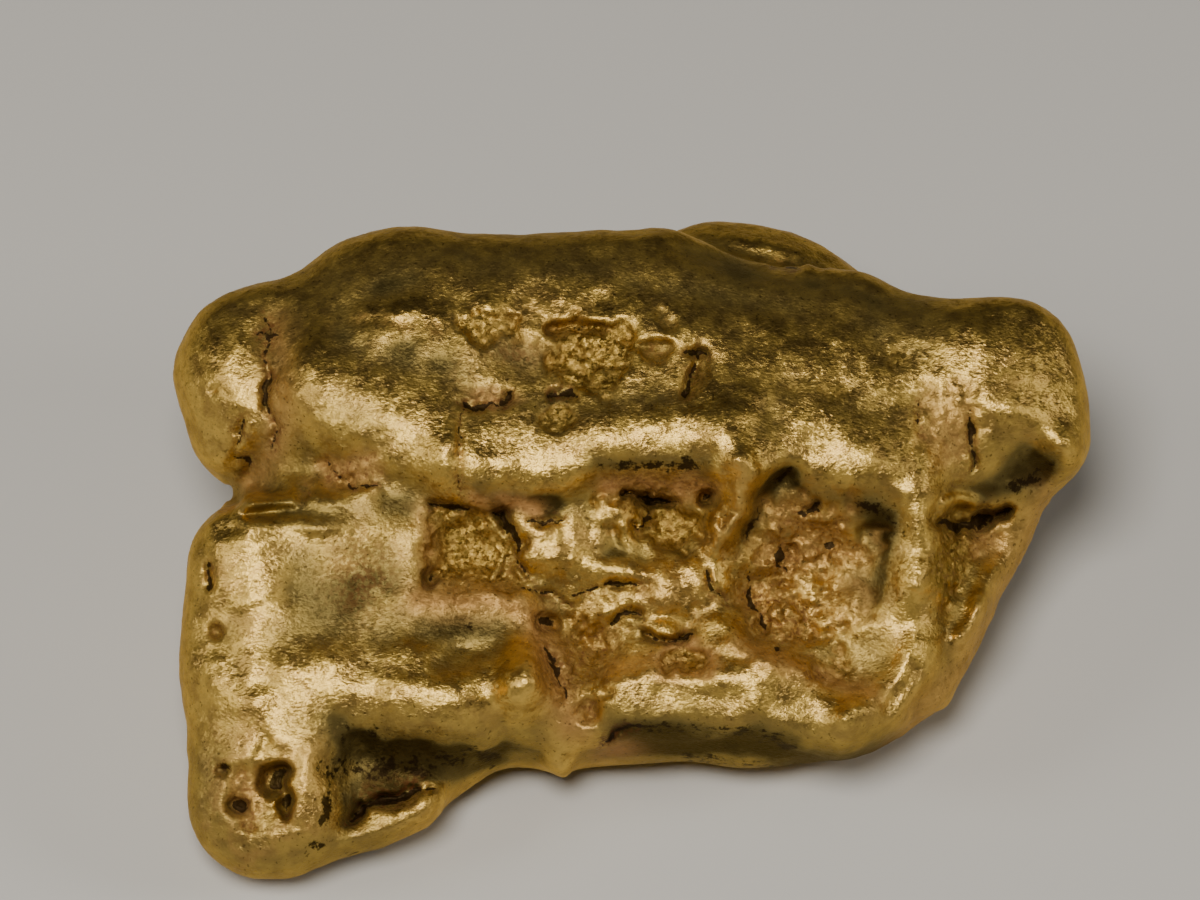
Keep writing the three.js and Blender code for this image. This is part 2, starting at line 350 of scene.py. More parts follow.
# the plates in the middle
swell((-0.2, 0.8), (0.5, 0.4), 0.25, 0, 3)
swell((-1.7, 0.3), (0.9, 0.5), 0.32, -30, 3)
swell((-0.3, -0.35), (1.0, 0.3), 0.18, -8, 3)
swell((1.2, -0.6), (0.75, 0.6), 0.3, 0, 3)
swell((0.4, -1.05), (0.7, 0.3), 0.2, 0, 3)
swell((-0.95, -1.3), (0.5, 0.5), 0.3, 0, 3)
swell((0.65, -1.6), (0.65, 0.2), 0.22, -8, 4)
swell((2.0, -1.65), (0.55, 0.45), 0.34, 0, 4)
roll([(2.3, -1.95), (3.1, -2.3), (3.95, -2.6)], 0.22, 0.22, 0.28)
# the south rim, with its sharp end
roll([(-0.8, -2.9), (0.45, -2.7), (1.3, -2.7), (2.2, -2.65), (3.0, -3.0), (3.9, -3.35),
      (4.8, -3.45)], 0.6, 0.9, 0.35)
roll([(4.5, -3.75), (5.3, -3.2), (5.85, -2.6), (6.3, -1.7)], 0.3, 0.4, 0.36)
roll([(4.3, -3.0), (5.0, -2.5), (5.4, -1.9)], 0.35, 0.35, -0.15)
swell((2.6, -4.1), (1.4, 0.4), -0.2)
swell((-0.5, -4.2), (0.6, 0.4), 0.1)
# the far rim and the cleft that runs down beside it
roll([(7.75, -1.0), (7.45, -1.5), (7.1, -1.95)], 0.22, 0.3, 0.3)
roll([(6.5, -2.2), (6.2, -2.9), (5.85, -3.65)], 0.3, 0.4, 0.28)
roll([(6.2, -2.4), (5.95, -2.85), (5.5, -3.35)], 0.13, 0.13, -0.15)
# the right hollow's rim and what stands in it, the east knob and the rim beyond
roll([(6.5, 1.6), (6.5, 0.2), (6.15, -0.75)], 0.4, 0.45, 0.3)
swell((4.85, -1.1), (0.4, 0.5), 0.3)
swell((4.1, 0.8), (0.7, 0.3), 0.2)
swell((6.6, 2.8), (0.6, 0.8), 0.15)
roll([(7.4, 3.5), (8.6, 3.2), (9.3, 2.8), (9.5, 2.2)], 0.6, 0.7, 0.22)
swell((8.7, 1.9), (0.7, 0.45), -0.3)
roll([(8.25, 0.6), (7.65, -0.1), (7.2, -1.0), (6.9, -1.85)], 0.35, 0.35, -0.15)
roll([(8.0, -0.2), (7.6, -1.1), (7.2, -2.0)], 0.25, 0.25, 0.15)

# the low ground in the middle is broken into slabs a millimetre across, each tilted its own way,
# and the right hollow into chunks half that size
slabs, slab_seams = shards((shaken_u, shaken_v), 0.95, 16)
chunks = shards((shaken_u, shaken_v), 0.5, 17)[0]
middle = np.exp(-(off_centre((-0.1, -0.4), (2.1, 1.5)) ** 4))
hollow = np.exp(-(off_centre((3.8, -0.4), (1.4, 1.5)) ** 4))
lift += middle * (0.28 * (slabs - 0.5) + 0.14 * (chunks - 0.5)) + hollow * 0.3 * (chunks - 0.5)
lift += 0.05 * (middle + hollow) * mottle((shaken_u, shaken_v), 0.33, 15)
lift += 0.035 * mottle((U, V), 1.3, 11) + 0.025 * mottle((U, V), 0.6, 12) + 0.012 * mottle((U, V), 0.3, 13)
lift = np.clip(lift, -1.2, 1.4)

# The strokes reach a little way down into the wax, so that they leave the underside alone.
below = onto_wax(height) - wax_w[None]
wax -= onto_wax(lift) * np.clip(2.0 - below / 0.8, 0, 1)

# ---- Pits, crevices and stain ------------------------------------------------------------------
# Where quartz and ironstone have weathered out, the gold is left as steep pits with broken,
# crystalline floors. Crevices hold rust, and the worn lips of the pits are matt and pinkish.
# Each map says how much of its own kind there is at a place of the face; dig is in millimetres.
# The film and grime maps also hold painted shade.
dig = np.zeros(U.shape)
fresh = np.zeros(U.shape)
rust = np.zeros(U.shape)
grime_and_shade = np.zeros(U.shape)
lip = np.zeros(U.shape)
film_and_shade = np.zeros(U.shape)
coarse, gaps = shards((shaken_u, shaken_v), 0.36, 21)
fine, small_gaps = shards((shaken_u, shaken_v), 0.18, 22)
seams = np.maximum(gaps, 0.6 * small_gaps)
broken = (0.55 * coarse + 0.45 * fine) * (1 - 0.7 * seams)
seams = np.maximum(seams, 0.8 * slab_seams**2 * middle)
ragged = 1 + 0.3 * mottle((U, V), 0.42, 23) + 0.25 * mottle((U, V), 0.2, 24)


def add(kind, amount):
    """Marks a map with what is not on it already."""
    kind[:] = np.maximum(kind, amount)


def pit(centre, radii, depth, turn=0, wall=0.45, rough=0.5, yellow=0.8, brown=0.3, edge=0.0):
    """A steep ragged hole with a broken floor: yellow crystals, brown rust and a worn edge."""
    q = off_centre(centre, radii, turn) * ragged
    inside = ease((1.2 - q) / wall)
    in_patches = ease(0.5 + 0.9 * mottle((U, V), 0.35, 35))
    on_the_wall = np.exp(-(((q - 0.95) * min(radii) / 0.09) ** 2))
    on_the_edge = np.exp(-(((q - 1.25) * min(radii) / 0.12) ** 2))
    add(dig, depth * inside * (1 - rough * broken))
    add(fresh, yellow * ease((1.1 - q) / 0.2))
    add(rust, 0.8 * brown * in_patches * on_the_wall)
    add(rust, 0.8 * brown * inside * seams)
    # deep pits get a dark bottom: dirt and painted shade
    add(grime_and_shade, (depth > 0.35) * brown * ease(1.0 - q) * (1 - yellow))
    add(lip, edge * on_the_edge)


def crack(points, width, depth, brown=0.8, yellow=0.0):
    """A jagged cleft along some points, dark at its bottom with dirty deposits and painted shade, and
    rusty to its sides.
    """
    gap, along, side = gap_to(points)
    jagged = 0.05 * mottle((U, V), 0.16, 33) + 0.03 * mottle((U, V), 0.09, 34)
    gap = np.where(gap < 0.5, np.abs(np.where(side < 0, -gap, gap) + jagged), gap)
    fading = ease(5 * np.minimum(along, 1 - along) + 0.2)
    width = width * (1 + 0.85 * mottle((U, V), 0.3, 31)) * fading + 0.01
    waves = 1 + 0.5 * mottle((U, V), 0.4, 32)
    add(dig, depth * ease(1.3 - 0.9 * gap / width) * waves)
    add(rust, brown * np.exp(-((gap / (width * 1.6 + 0.06)) ** 2)))
    add(fresh, yellow * np.exp(-((gap / (width * 2)) ** 2)))
    add(grime_and_shade, 0.9 * brown * ease(1.3 - gap / (0.6 * width + 0.025)))


def rough_patch(centre, radii, depth, turn=0, yellow=0.6, brown=0.3, pink=0.0):
    """Broken ground: it swallows the worn skin without a wall of its own."""
    inside = ease(1.4 - off_centre(centre, radii, turn) * ragged)
    add(dig, depth * inside * (1 - broken))
    add(fresh, yellow * inside)
    add(rust, brown * inside * seams)
    add(lip, pink * inside)


def heap(centre, radii, height):
    """Leaves a bit of the skin standing inside what has been dug out."""
    kept = np.exp(-(off_centre(centre, radii) ** 4))
    dig[:] = np.where(dig > 0, np.maximum(dig - height * kept * ragged, 0.03), dig)
    fresh[:] = fresh * (1 - 0.8 * kept)


def tint(kind, centre, radii, amount, turn=0):
    """An oval of rust, lip colour, olive tarnish or black deposit that fades outwards; the olive and black
    ones also paint shade.
    """
    add(kind, amount * np.exp(-(off_centre(centre, radii, turn) ** 2)))


def stripe(kind, points, width, amount):
    """A strip of rust, lip colour, olive tarnish or black deposit along some points; the olive and black
    ones also paint shade.
    """
    add(kind, amount * np.exp(-((gap_to(points)[0] / width) ** 2)))


def polish(centre, radii, amount, turn=0, flat=2.0):
    """Rubs olive tarnish and its painted shade off an oval; `flat` above 2 rubs it evenly up to the
    outline.
    """
    film_and_shade[:] -= amount * np.exp(-(off_centre(centre, radii, turn) ** flat))


# on the upper band
pit((-3.05, 5.0), (0.45, 0.42), 0.28, yellow=0.9, brown=0.2)
pit((-0.85, 4.35), (0.8, 0.8), 0.36, rough=0.9, yellow=1.0, brown=0.5)
pit((-1.15, 4.95), (0.6, 0.16), 0.65, yellow=0.3, brown=0.8)
rough_patch((-1.8, 5.35), (1.0, 0.4), 0.14, yellow=0.1, brown=0.1, pink=0.2)
pit((-5.3, 5.15), (0.7, 0.14), 0.08, turn=-5, yellow=0.1, brown=0.7)
pit((-1.65, 3.1), (0.4, 0.3), 0.2, yellow=0.8, brown=0.5)
pit((0.5, 4.4), (0.34, 0.26), 0.3, yellow=0.3, brown=0.9)
pit((0.75, 5.2), (0.16, 0.26), 0.2, yellow=0.2, brown=0.7)
crack([(1.32, 4.6), (1.38, 4.2), (1.34, 3.8), (1.36, 3.4)], 0.08, 0.4)
rough_patch((1.5, 4.0), (0.2, 0.55), 0.3, yellow=0.3, brown=0.6)
crack([(1.05, 4.35), (1.45, 4.45), (1.7, 4.4)], 0.072, 0.25)
crack([(-3.75, 3.3), (-3.4, 3.2), (-3.1, 3.25), (-2.8, 3.3), (-2.55, 3.6)], 0.07, 0.35)
rough_patch((-3.1, 3.45), (0.45, 0.2), 0.12, yellow=0, brown=0.5, pink=0.8)
crack([(-3.6, 3.4), (-3.68, 3.1), (-3.6, 2.75), (-3.62, 2.2), (-3.68, 1.65), (-3.62, 1.25)], 0.04, 0.16)
crack([(-1.9, 3.45), (-1.5, 3.55), (-1.2, 3.5)], 0.058, 0.2)
rough_patch((4.65, 3.65), (0.35, 0.25), 0.14)
rough_patch((5.85, 4.45), (0.25, 0.2), 0.12)
rough_patch((3.5, 3.65), (0.3, 0.25), 0.06, yellow=0.3)
# the west knob and the shoulder
crack([(-8.2, 5.2), (-7.95, 4.95), (-8.1, 4.45), (-7.8, 4.0), (-7.95, 3.3), (-7.65, 2.9),
       (-7.8, 2.3)], 0.05, 0.18)
crack([(-8.25, 4.9), (-8.0, 4.85), (-7.75, 4.9)], 0.05, 0.15)
rough_patch((-8.0, 4.9), (0.2, 0.35), 0.15, yellow=0, brown=1.0)
crack([(-8.3, 3.1), (-8.65, 2.65), (-8.8, 2.25), (-8.45, 2.15), (-8.6, 1.7)], 0.058, 0.18)
crack([(-9.15, 3.5), (-8.9, 3.6), (-8.6, 3.45)], 0.043, 0.12, brown=0.2)
rough_patch((-8.3, 2.3), (0.5, 0.8), 0.06, yellow=0, brown=0.3)
rough_patch((-6.1, 1.9), (0.8, 0.4), 0.24, yellow=0.1, brown=0.9, pink=0.7)
pit((-6.45, 2.05), (0.18, 0.14), 0.25, brown=0.9)
pit((-6.15, 1.65), (0.24, 0.16), 0.3, brown=1.0)
pit((-5.75, 1.6), (0.14, 0.1), 0.2, brown=0.8)
crack([(-6.6, 2.1), (-6.3, 1.85), (-6.0, 1.5), (-5.5, 1.55)], 0.043, 0.2)
pit((-7.15, 1.4), (0.12, 0.2), 0.2, brown=0.9, yellow=0)
# the crystal pit and the fold above it
pit((-3.45, 0.2), (0.8, 0.8), 0.26, rough=0.9, yellow=1.0, brown=0.5)
pit((-4.3, -0.4), (0.2, 0.25), 0.5, yellow=0.3, brown=1.0)
pit((-2.65, -0.45), (0.35, 0.25), 0.4, yellow=0.7, brown=0.6)
pit((-2.5, 0.1), (0.2, 0.5), 0.35, turn=-30, yellow=0.3, brown=0.9)
crack([(-4.3, 1.0), (-3.9, 1.1), (-3.45, 1.15)], 0.06, 0.35)
crack([(-3.0, 1.05), (-2.75, 0.95), (-2.7, 0.6)], 0.07, 0.4)
crack([(-2.7, 0.75), (-2.4, 0.4), (-2.35, 0.0), (-2.0, -0.35)], 0.06, 0.25)
crack([(-2.2, 0.8), (-1.8, 0.72), (-1.5, 0.8)], 0.05, 0.2)
# the cave under the central ridge
pit((0.55, 0.8), (1.15, 0.6), 0.42, rough=0.6, yellow=0.7, brown=0.6)
heap((-0.15, 0.8), (0.6, 0.46), 0.36)
crack([(-0.15, 1.3), (0.2, 1.27), (0.6, 1.2), (1.1, 1.3)], 0.1, 0.8)
pit((0.17, 0.6), (0.09, 0.1), 0.6, yellow=0, brown=1.0)
pit((1.68, 1.32), (0.17, 0.11), 0.9, yellow=0, brown=1.0)
crack([(0.45, 1.2), (0.55, 0.9), (0.4, 0.6), (0.1, 0.35)], 0.04, 0.2)
# the lower middle
rough_patch((-1.6, 0.3), (0.95, 0.5), 0.14, turn=-30, yellow=0.0, brown=0.2)
rough_patch((0.9, -0.8), (0.95, 0.6), 0.13, yellow=0.0, brown=0.2, pink=0.25)
rough_patch((-0.95, -1.3), (0.55, 0.5), 0.16, yellow=0.0, brown=0.2)
rough_patch((-1.0, -2.1), (0.7, 1.0), 0.4, turn=-20, yellow=0.6, brown=1.0, pink=0.3)
tint(rust, (-1.3, -2.5), (0.5, 0.9), 0.55, 25)
pit((-1.9, -1.4), (0.32, 0.17), 0.5, turn=-40, yellow=0, brown=1.0)
rough_patch((-0.85, -3.35), (0.4, 0.3), 0.35, yellow=0.3, brown=1.0, pink=0.5)
crack([(-1.9, -2.0), (-1.6, -2.6), (-1.25, -3.1)], 0.06, 0.25)
crack([(0.15, -1.66), (0.5, -1.82), (0.9, -1.84), (1.35, -1.65)], 0.08, 0.4)
crack([(-1.3, -0.78), (-0.8, -0.66), (-0.3, -0.7), (0.25, -0.72)], 0.045, 0.16)
crack([(-0.5, -1.5), (-0.2, -1.35), (0.2, -1.42)], 0.05, 0.2)
crack([(1.7, -0.2), (1.85, -0.7), (2.2, -1.1)], 0.05, 0.2)
crack([(-2.3, -0.6), (-1.6, -0.85), (-1.3, -0.9)], 0.05, 0.2)
pit((1.25, -2.2), (0.42, 0.26), 0.35, yellow=1.0, brown=0.6, edge=0.9)
pit((2.35, -2.2), (0.14, 0.12), 0.1, yellow=0, brown=0.2)
pit((1.5, -1.1), (0.07, 0.1), 0.15, yellow=0, brown=0.8)
# the right hollow
rough_patch((3.75, 0.3), (1.2, 0.9), 0.36, yellow=0.5, brown=0.8, pink=0.7)
rough_patch((3.2, -1.2), (0.9, 1.2), 0.4, turn=25, yellow=0.6, brown=1.0, pink=0.5)
tint(rust, (2.9, -1.4), (0.5, 0.9), 0.55, 20)
rough_patch((4.7, -0.9), (0.7, 0.8), 0.14, yellow=0.2, brown=0.4, pink=0.3)
pit((3.4, -0.05), (0.22, 0.34), 0.4, yellow=0.9, brown=0.6, rough=0.1)
pit((5.3, 0.4), (0.34, 0.28), 0.25, yellow=0, brown=0.3)
crack([(4.05, 1.25), (3.85, 0.95), (3.6, 0.85)], 0.06, 0.3)
crack([(3.2, 0.25), (3.2, -0.2), (3.45, -0.45)], 0.06, 0.2)
crack([(2.7, -0.2), (2.6, -0.9), (2.9, -1.6)], 0.06, 0.3)
pit((4.3, 0.15), (0.26, 0.18), 0.4, yellow=0.2, brown=1.0)
pit((3.1, -2.05), (0.16, 0.14), 0.4, yellow=0, brown=1.0)
pit((3.95, -2.55), (0.16, 0.12), 0.35, yellow=0, brown=1.0)
rough_patch((4.45, -2.5), (0.5, 0.35), 0.25, yellow=0.6, brown=0.7)
pit((4.7, -1.5), (0.1, 0.12), 0.2, yellow=0, brown=0.8)
# the east knob and the rim beyond it
rough_patch((6.8, 2.7), (0.65, 0.85), 0.18, yellow=0.2, brown=0.6, pink=0.5)
crack([(7.3, 3.2), (7.35, 2.75), (7.42, 2.45), (7.55, 2.1), (7.45, 1.85)], 0.06, 0.22)
crack([(6.3, 3.4), (6.2, 3.0), (6.35, 2.6)], 0.043, 0.15)
pit((7.15, 1.55), (0.1, 0.08), 0.15, yellow=0, brown=1.0)
crack([(6.8, 0.78), (7.2, 0.6), (7.7, 0.6), (8.45, 0.88)], 0.12, 0.7)
rough_patch((7.0, -0.1), (0.5, 1.1), 0.32, turn=-10, yellow=0.9, brown=0.8)
rough_patch((7.7, 0.25), (0.35, 0.35), 0.14, yellow=0.1, brown=0.6, pink=0.6)
pit((6.9, -1.1), (0.12, 0.1), 0.3, yellow=0, brown=1.0)
pit((7.15, -0.7), (0.12, 0.12), 0.3, yellow=0, brown=1.0)
# the south west block and its end
crack([(-9.3, -0.1), (-9.2, -0.45), (-9.1, -0.75)], 0.058, 0.3)
pit((-8.9, -1.65), (0.16, 0.12), 0.25, yellow=0, brown=0.8)
pit((-8.0, -5.1), (0.75, 1.05), 0.34, wall=0.9, rough=0.7, yellow=0.0, brown=0.6, edge=0.4)
pit((-7.7, -4.75), (0.34, 0.42), 0.9, wall=0.5, rough=0.25, yellow=0, brown=1.0)
pit((-7.4, -5.25), (0.15, 0.35), 0.8, wall=0.5, rough=0.25, yellow=0, brown=1.0)
rough_patch((-8.3, -5.2), (0.4, 0.7), 0.2, yellow=0.1, brown=0.8, pink=0.6)
pit((-8.9, -4.7), (0.16, 0.12), 0.3, yellow=0, brown=1.0)
pit((-8.4, -5.5), (0.3, 0.2), 0.6, yellow=0, brown=1.0)
pit((-8.2, -5.85), (0.12, 0.12), 0.3, yellow=0, brown=1.0)
crack([(-6.2, -5.8), (-5.7, -5.5), (-5.0, -5.3), (-4.3, -5.15)], 0.13, 0.4, brown=0.9)
crack([(-0.75, -4.2), (-0.3, -3.85), (0.2, -3.65)], 0.065, 0.3)
# the back
crack([(3.2, 6.45), (3.5, 6.5), (3.8, 6.4)], 0.086, 0.3, yellow=0.3)

# pinkish matt lips along the block's east edge, the fold, the cave's roof and the far rim
stripe(lip, [(-4.5, -0.85), (-3.65, -0.85), (-2.85, -0.88), (-2.3, -1.15), (-2.0, -1.6),
             (-1.8, -2.35), (-1.5, -3.0), (-1.2, -3.65)], 0.4, 0.9)
stripe(lip, [(-3.4, 1.35), (-2.85, 1.25), (-2.4, 1.1), (-2.1, 0.95)], 0.2, 1.0)
stripe(lip, [(-0.6, 1.5), (0.2, 1.6), (1.0, 1.55), (1.7, 1.5)], 0.28, 1.0)
stripe(rust, [(-0.5, 1.65), (0.3, 1.75), (1.1, 1.7), (1.75, 1.6)], 0.22, 0.55)
stripe(lip, [(2.3, -1.95), (3.1, -2.3), (3.95, -2.65), (4.7, -2.95), (5.3, -2.9)], 0.3, 0.75)
stripe(lip, [(-0.5, -2.5), (0.3, -2.3), (1.0, -2.3)], 0.25, 0.6)
stripe(lip, [(9.15, 1.15), (8.7, -0.1), (8.25, -1.0), (7.6, -2.1), (6.8, -3.2),
             (5.95, -4.4)], 0.45, 0.6)
stripe(lip, [(2.3, 2.0), (2.35, 1.45), (2.2, 0.9), (1.8, 0.4)], 0.25, 0.4)
stripe(lip, [(-7.75, 4.9), (-7.6, 4.0), (-7.5, 3.2), (-7.9, 2.2), (-8.4, 1.6)], 0.38, 0.65)
stripe(lip, [(-6.9, -4.2), (-6.95, -5.6)], 0.3, 0.3)
tint(lip, (-0.4, -4.35), (0.6, 0.3), 0.9)
tint(lip, (8.2, 0.2), (0.5, 0.5), 0.6)
# rust freckles on the saddle and about the pits
tint(rust, (-5.8, -0.4), (0.8, 1.1), 0.55)
tint(rust, (-6.4, -2.0), (0.6, 0.3), 0.3)
tint(rust, (-3.6, 3.9), (0.4, 0.6), 0.3)
tint(rust, (0.9, 4.3), (0.9, 0.5), 0.3)
tint(rust, (8.2, 3.9), (0.6, 0.5), 0.15)
stripe(rust, [(-9.1, -3.9), (-9.0, -5.5), (-8.2, -6.4)], 0.3, 0.25)
tint(rust, (-2.4, 4.4), (0.9, 0.5), 0.4)
tint(rust, (7.3, 2.4), (0.3, 0.9), 0.5)
tint(rust, (3.6, 0.9), (0.9, 0.4), 0.45)
tint(rust, (-1.8, -0.9), (0.7, 0.3), 0.4)
tint(rust, (-4.4, 0.3), (0.25, 0.7), 0.5)
tint(lip, (-4.4, 0.3), (0.25, 0.7), 0.7)
tint(lip, (-2.2, 4.5), (0.8, 0.4), 0.25)
# a dull olive film lies where nothing has rubbed it off; the same strokes paint shade on faces that
# turn away, and from about 1 up they are dark painted shade
tint(film_and_shade, (-5.6, -0.6), (1.7, 1.2), 0.85)
tint(film_and_shade, (-3.6, -1.4), (0.9, 0.5), 0.95)
stripe(film_and_shade, [(-6.4, 5.9), (-3.5, 6.5), (-0.5, 6.4), (2.5, 6.0), (6.5, 5.2)], 0.6, 0.75)
stripe(film_and_shade, [(-6.2, 4.8), (-4.4, 4.6), (-3.4, 4.0)], 0.5, 0.6)
tint(film_and_shade, (-2.3, 4.35), (0.9, 0.5), 1.2)
polish((-1.6, 5.3), (1.1, 0.35), 1.0)
polish((-5.2, 5.35), (0.8, 0.3), 0.8)
stripe(film_and_shade, [(-2.9, 3.4), (-1.2, 3.2), (0.0, 3.5), (1.2, 3.4)], 0.3, 0.5)
tint(film_and_shade, (-5.9, 3.1), (0.9, 0.6), 0.7, -35)
stripe(film_and_shade, [(0.4, 4.9), (2.4, 5.1)], 0.7, 0.3)
stripe(film_and_shade, [(-7.9, 1.1), (-6.4, 0.95), (-4.9, 0.95)], 0.5, 0.95)
stripe(film_and_shade, [(-3.3, 1.5), (-2.6, 1.2), (-1.8, 1.05)], 0.25, 1.4)
stripe(film_and_shade, [(-0.9, 2.0), (0.2, 2.1), (1.6, 2.0)], 0.25, 1.2)
stripe(film_and_shade, [(3.4, 1.8), (3.0, 1.3), (2.5, 0.5)], 0.35, 0.9)
stripe(film_and_shade, [(3.2, 1.5), (4.0, 1.35), (4.8, 1.25)], 0.2, 0.8)
stripe(film_and_shade, [(5.2, 1.1), (5.7, 0.8), (5.5, 0.3)], 0.45, 0.95)
stripe(film_and_shade, [(5.6, 0.2), (5.5, -0.8), (4.9, -0.6)], 0.3, 0.8)
stripe(film_and_shade, [(-0.6, 0.0), (0.3, -0.25), (1.2, 0.0)], 0.22, 0.8)
stripe(film_and_shade, [(-6.4, -3.9), (-5.0, -4.2), (-3.5, -4.2), (-2.3, -4.1)], 0.7, 1.0)
stripe(film_and_shade, [(0.0, -4.0), (1.6, -4.0), (2.8, -4.15), (4.4, -4.6), (5.6, -4.4)], 0.7, 1.7)
stripe(film_and_shade, [(-9.2, -4.6), (-9.0, -5.8), (-7.8, -6.6), (-5.5, -6.3)], 0.7, 0.8)
tint(film_and_shade, (-5.2, -4.9), (1.2, 0.45), 1.4, 12)
stripe(film_and_shade, [(7.9, 1.4), (8.6, 1.55), (9.2, 1.95)], 0.45, 1.6)
polish((3.5, 6.65), (1.2, 0.35), 0.8, -12)
polish((3.0, 3.8), (1.6, 0.7), 0.5)
polish((9.5, 2.4), (0.3, 0.55), 1.0)
tint(film_and_shade, (8.2, 2.4), (0.8, 0.6), 0.5)
stripe(film_and_shade, [(-8.9, 5.4), (-7.6, 5.6)], 0.4, 0.5)
# the plates of the low ground are rubbed free of film and painted shade, like the crests
polish((-1.6, 0.3), (0.9, 0.55), 0.9, flat=4)
polish((1.0, -0.7), (0.9, 0.7), 0.9, flat=4)
polish((-1.0, -1.3), (0.5, 0.5), 0.9, flat=4)
polish((-0.15, 0.8), (0.5, 0.4), 0.9, flat=4)
polish((3.8, 0.1), (1.3, 1.0), 0.9, flat=4)
polish((3.6, -1.2), (1.0, 0.9), 0.9, flat=4)
# painted shade: black patches in the lee of the block and the south rim, under the ridge and the
# east knob, and down in the hollows
tint(grime_and_shade, (-3.6, -1.45), (0.7, 0.4), 0.42)
stripe(grime_and_shade, [(-6.5, -4.6), (-5.7, -4.7), (-4.4, -4.6), (-3.0, -4.3)], 0.55, 0.5)
stripe(grime_and_shade, [(-6.3, -3.8), (-5.2, -3.9), (-3.6, -3.8)], 0.4, 0.42)
tint(grime_and_shade, (-6.7, -5.4), (0.18, 0.6), 0.7)
tint(grime_and_shade, (-6.8, -6.3), (0.35, 0.2), 0.62)
tint(grime_and_shade, (-6.1, -6.45), (0.4, 0.15), 0.6)
stripe(grime_and_shade, [(0.3, -3.75), (1.6, -3.7), (2.6, -3.75), (3.4, -4.0)], 0.35, 0.52)
stripe(grime_and_shade, [(1.2, -4.5), (2.6, -4.7), (4.2, -4.7)], 0.4, 0.5)
stripe(grime_and_shade, [(8.2, 1.4), (8.7, 1.55), (9.2, 1.9)], 0.3, 0.56)
stripe(grime_and_shade, [(-0.8, 1.95), (0.2, 2.05), (1.55, 1.9)], 0.25, 0.52)
stripe(grime_and_shade, [(3.4, 1.8), (2.95, 1.3), (2.5, 0.5)], 0.2, 0.5)
stripe(grime_and_shade, [(5.0, 1.2), (5.7, 1.0), (5.9, 0.5)], 0.35, 0.5)
tint(grime_and_shade, (-8.9, -4.6), (0.3, 0.2), 0.6)

# All that has been marked is dug out at once, straight down into the wax.
STEEPNESS = 0.75  # turns a height over a pit's sloping floor into a distance from it
height = look_down(soften(wax, 1))
cut = (wax_w[None] - onto_wax(height - dig)) * STEEPNESS
wax = np.where(onto_wax(dig) > 0.01, np.maximum(wax, cut), wax)
wax = soften(wax, 1)

# ---- The skin ----------------------------------------------------------------------------------
# The skin is the gold's own surface, peened by gravel. The wax's surface becomes the mesh, and the
# maps of the face, painted shade among them, are laid on it for the finish.
MOST_QUADS = 96000  # the mesh is thinned to these, which gives twice as many triangles
grid = openvdb.FloatGrid(float(wax.max()))
grid.copyFromArray(np.ascontiguousarray(wax))
points, quads = grid.convertToQuads(isovalue=0.0)
points = points * step + wax_low
skin = bpy.data.meshes.new("nugget_skin")
skin.from_pydata((points * MM).tolist(), [], quads[:, ::-1].tolist())
nugget = bpy.data.objects.new("nugget_skin", skin)
bpy.context.scene.collection.objects.link(nugget)
thin = nugget.modifiers.new("thin", "DECIMATE")
thin.ratio = min(1.0, MOST_QUADS / len(quads))
shown = nugget.evaluated_get(bpy.context.evaluated_depsgraph_get())
nugget.modifiers.clear()
nugget.data = bpy.data.meshes.new_from_object(shown)
skin = nugget.data
skin.polygons.foreach_set("use_smooth", [True] * len(skin.polygons))

places = np.empty(len(skin.vertices) * 3, np.float32)
skin.vertices.foreach_get("co", places)
places = places.reshape(-1, 3) / MM
normals = np.empty(len(skin.vertices) * 3, np.float32)
skin.vertices.foreach_get("normal", normals)
normals = normals.reshape(-1, 3)


def reading(block, at):
    """What a block reads at places between its grid points."""
    at = (at - wax_low) / step
    cell = np.clip(at.astype(int), 0, np.array(block.shape) - 2)
    part = at - cell
    total = 0
    for corner in np.ndindex(2, 2, 2):
        share = np.prod(np.where(corner, part, 1 - part), axis=1)
        total = total + share * block[tuple((cell + corner).T)]
    return total


# how far each place stands proud of the metal some tenths of a millimetre around it
around = soften(wax[::2, ::2, ::2].copy(), 30)
standing_proud = reading(around, (places - wax_low) / 2 + wax_low)
# each corner's place in the face's frame, and on its maps
px, py, pz = places.T
pu = px - FACE_AT.x
pv = (py - FACE_AT.y) * math.cos(LEAN) + (pz - FACE_AT.z) * math.sin(LEAN)
pw = (pz - FACE_AT.z) * math.cos(LEAN) - (py - FACE_AT.y) * math.sin(LEAN)
map_column = np.clip((pu - us[0]) / step, 0, len(us) - 1.001)
map_row = np.clip((pv - vs[0]) / step, 0, len(vs) - 1.001)


def from_map(face_map):
    """What a map of the face reads at each corner of the mesh."""
    i, j = map_row.astype(int), map_column.astype(int)
    a, b = map_row - i, map_column - j
    return (
        face_map[i, j] * (1 - a) * (1 - b)
        + face_map[i + 1, j] * a * (1 - b)
        + face_map[i, j + 1] * (1 - a) * b
        + face_map[i + 1, j + 1] * a * b
    )


# the face's maps stop where the skin turns under
on_face = np.clip(1.6 - (from_map(height) - from_map(dig) - pw) / 0.25, 0, 1)
finish_and_shade = {"fresh": fresh, "rust": rust, "grime_and_shade": grime_and_shade, "lip": lip, "film_and_shade": film_and_shade}
finish_and_shade = {name: from_map(face_map) * on_face for name, face_map in finish_and_shade.items()}
finish_and_shade["proud"] = standing_proud
for name, values in finish_and_shade.items():
    skin.attributes.new(name, "FLOAT", "POINT").data.foreach_set("value", values.astype(np.float32))

